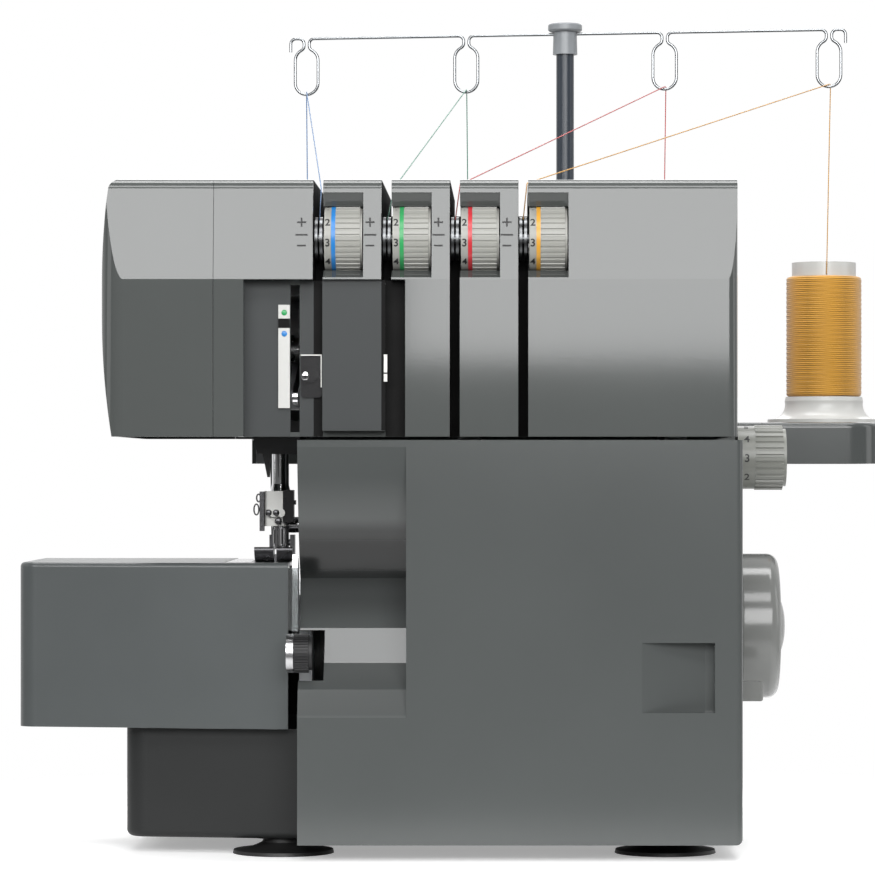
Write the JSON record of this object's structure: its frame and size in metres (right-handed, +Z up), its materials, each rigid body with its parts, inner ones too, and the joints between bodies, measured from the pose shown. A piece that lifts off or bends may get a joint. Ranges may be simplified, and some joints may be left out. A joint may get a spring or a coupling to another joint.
{
  "type": "overlock sewing machine",
  "caption": "Grey home overlock sewing machine with front tension dials, thread stand and antenna, hinged front cover, swing-out cloth plate, knives, loopers and handwheel.",
  "frame": {"origin": "middle of the footprint on the surface the feet stand on, threads left aside", "axes": "+X to the right seen from the front, +Y to the rear, +Z up"},
  "size_m": [0.399, 0.252, 0.3881],
  "materials": {
    "body_grey": "satin moulded",
    "dark_grey": "moulded",
    "light_grey": "moulded",
    "mid_grey": "satin moulded",
    "black_plastic": "moulded",
    "white_plastic": "moulded",
    "clear_smoke": "clear",
    "cast_frame": "cast",
    "steel": "ground",
    "chrome": "polished",
    "bronze": "sintered",
    "rubber": "moulded",
    "tube_blue_grey": "painted",
    "thread_blue": "spun thread",
    "thread_green": "spun thread",
    "thread_red": "spun thread",
    "thread_yellow": "spun thread"
  },
  "bodies": {
    "machine": {"base_pan": "dark_grey", "suction_feet": "rubber", "frame_casting": "cast_frame", "shaft_bushings": "bronze", "rear_cover": "body_grey", "belt_cover": "body_grey", "top_cover": "body_grey", "face_cover": "body_grey", "power_inlet": "black_plastic", "motor": "steel", "drive_belt": "rubber", "needle_plate": "chrome", "lower_knife": "steel", "tension_discs": "chrome", "take_up_guide": "white_plastic", "thread_clip": "chrome", "spool_stand": "body_grey", "spool_pins": "white_plastic", "cone_holders": "white_plastic", "spool_cores": "white_plastic", "antenna_lower_tube": "tube_blue_grey", "thread_package_blue": "thread_blue", "thread_blue": "thread_blue", "thread_package_green": "thread_green", "thread_green": "thread_green", "thread_package_red": "thread_red", "thread_red": "thread_red", "thread_package_yellow": "thread_yellow", "thread_yellow": "thread_yellow"},
    "drive_train": {"handwheel": "mid_grey", "main_shaft": "steel"},
    "motor_rotor": {"motor_pulley": "black_plastic"},
    "rocker": {"rocker_shaft": "steel", "take_up_lever": "chrome"},
    "needle_unit": {"needle_bar": "chrome", "needle_clamp": "chrome", "needles": "chrome"},
    "lifter": {"presser_lifter": "dark_grey"},
    "presser": {"presser_bar": "chrome", "presser_ankle": "chrome", "presser_foot": "chrome"},
    "stitch_dial": {"stitch_length_dial": "light_grey"},
    "differential": {"differential_lever": "mid_grey"},
    "rocker_switch": {"power_rocker": "black_plastic"},
    "cover_rod": {"front_cover_rod": "steel"},
    "cover": {"front_cover": "body_grey"},
    "cloth_table": {"cloth_plate": "body_grey", "chip_guard": "clear_smoke"},
    "knife": {"upper_knife": "steel"},
    "knob": {"knife_knob": "black_plastic"},
    "feed": {"feed_dogs": "steel"},
    "looper_upper": {"upper_looper": "chrome"},
    "looper_lower": {"lower_looper": "chrome"},
    "antenna": {"antenna_upper_tube": "tube_blue_grey", "antenna_cap": "light_grey", "thread_guide_wire": "chrome"},
    "dial_blue": {"tension_dial_blue": "light_grey"},
    "dial_green": {"tension_dial_green": "light_grey"},
    "dial_red": {"tension_dial_red": "light_grey"},
    "dial_yellow": {"tension_dial_yellow": "light_grey"}
  },
  "joints": [
    {"name": "handwheel_turn", "type": "hinge", "parent": "machine", "child": "drive_train", "pos_m": [0.1215, -0.031, 0.0987], "axis": [1, 0, 0], "continuous": true},
    {"name": "motor_turn", "type": "hinge", "parent": "machine", "child": "motor_rotor", "pos_m": [0.1055, -0.021, 0.05], "axis": [1, 0, 0], "continuous": true},
    {"name": "rocker_swing", "type": "hinge", "parent": "machine", "child": "rocker", "pos_m": [-0.085, -0.021, 0.225], "axis": [1, 0, 0], "range_deg": [-26, 5]},
    {"name": "needle_stroke", "type": "slide", "parent": "machine", "child": "needle_unit", "axis": [0, 0, 1], "range_m": [-0.0032, 0.0162]},
    {"name": "lifter_raise", "type": "hinge", "parent": "machine", "child": "lifter", "pos_m": [-0.085, -0.004, 0.18], "axis": [1, 0, 0], "range_deg": [0, 60]},
    {"name": "presser_lift", "type": "slide", "parent": "machine", "child": "presser", "axis": [0, 0, 1], "range_m": [0, 0.0064]},
    {"name": "tension_blue", "type": "hinge", "parent": "machine", "child": "dial_blue", "pos_m": [-0.0619, -0.1105, 0.2712], "axis": [1, 0, 0], "range_deg": [-90, 180]},
    {"name": "tension_green", "type": "hinge", "parent": "machine", "child": "dial_green", "pos_m": [-0.03215, -0.1105, 0.2712], "axis": [1, 0, 0], "range_deg": [-90, 180]},
    {"name": "tension_red", "type": "hinge", "parent": "machine", "child": "dial_red", "pos_m": [-0.0024, -0.1105, 0.2712], "axis": [1, 0, 0], "range_deg": [-90, 180]},
    {"name": "tension_yellow", "type": "hinge", "parent": "machine", "child": "dial_yellow", "pos_m": [0.02735, -0.1105, 0.2712], "axis": [1, 0, 0], "range_deg": [-90, 180]},
    {"name": "stitch_length", "type": "hinge", "parent": "machine", "child": "stitch_dial", "pos_m": [0.1201, -0.066, 0.1756], "axis": [1, 0, 0], "range_deg": [-135, 135]},
    {"name": "differential_feed", "type": "hinge", "parent": "machine", "child": "differential", "pos_m": [0.1201, -0.064, 0.07165], "axis": [1, 0, 0], "range_deg": [-12, 12]},
    {"name": "power_switch", "type": "hinge", "parent": "machine", "child": "rocker_switch", "pos_m": [0.1135, 0.005, 0.053], "axis": [0, 1, 0], "range_deg": [-5, 5]},
    {"name": "front_cover_open", "type": "hinge", "parent": "machine", "child": "cover_rod", "pos_m": [-0.0125, -0.12, 0.012], "axis": [1, 0, 0], "range_deg": [0, 80]},
    {"name": "front_cover_release", "type": "slide", "parent": "cover_rod", "child": "cover", "axis": [1, 0, 0], "range_m": [0, 0.008]},
    {"name": "cloth_plate_swing", "type": "hinge", "parent": "machine", "child": "cloth_table", "pos_m": [-0.1425, -0.008, 0.129], "axis": [0, 0, 1], "range_deg": [-90, 0]},
    {"name": "upper_knife_swing", "type": "hinge", "parent": "machine", "child": "knife", "pos_m": [-0.0779, -0.1175, 0.09], "axis": [1, 0, 0], "range_deg": [-40, 0]},
    {"name": "knife_knob_pull", "type": "slide", "parent": "knife", "child": "knob", "axis": [1, 0, 0], "range_m": [0, 0.004], "stiffness_N_per_m": 600},
    {"name": "feed_stroke", "type": "slide", "parent": "machine", "child": "feed", "axis": [0, 1, 0], "range_m": [-0.002, 0.002]},
    {"name": "upper_looper_swing", "type": "hinge", "parent": "machine", "child": "looper_upper", "pos_m": [-0.0345, -0.0554, 0.062], "axis": [0, 1, 0], "range_deg": [-12, 12]},
    {"name": "lower_looper_swing", "type": "hinge", "parent": "machine", "child": "looper_lower", "pos_m": [-0.0485, -0.0554, 0.04], "axis": [0, 1, 0], "range_deg": [-12, 15]},
    {"name": "antenna_telescope", "type": "slide", "parent": "machine", "child": "antenna", "axis": [0, 0, 1], "range_m": [-0.08, 0], "deforming": ["thread_blue", "thread_green", "thread_red", "thread_yellow"]}
  ],
  "couplings": [
    {"joint": "motor_turn", "follows": "handwheel_turn", "ratio": 2.4444},
    {"joint": "needle_stroke", "follows": "rocker_swing", "m_per_rad": -0.035},
    {"joint": "lifter_raise", "follows": "presser_lift", "rad_per_m": 163.62}
  ]
}
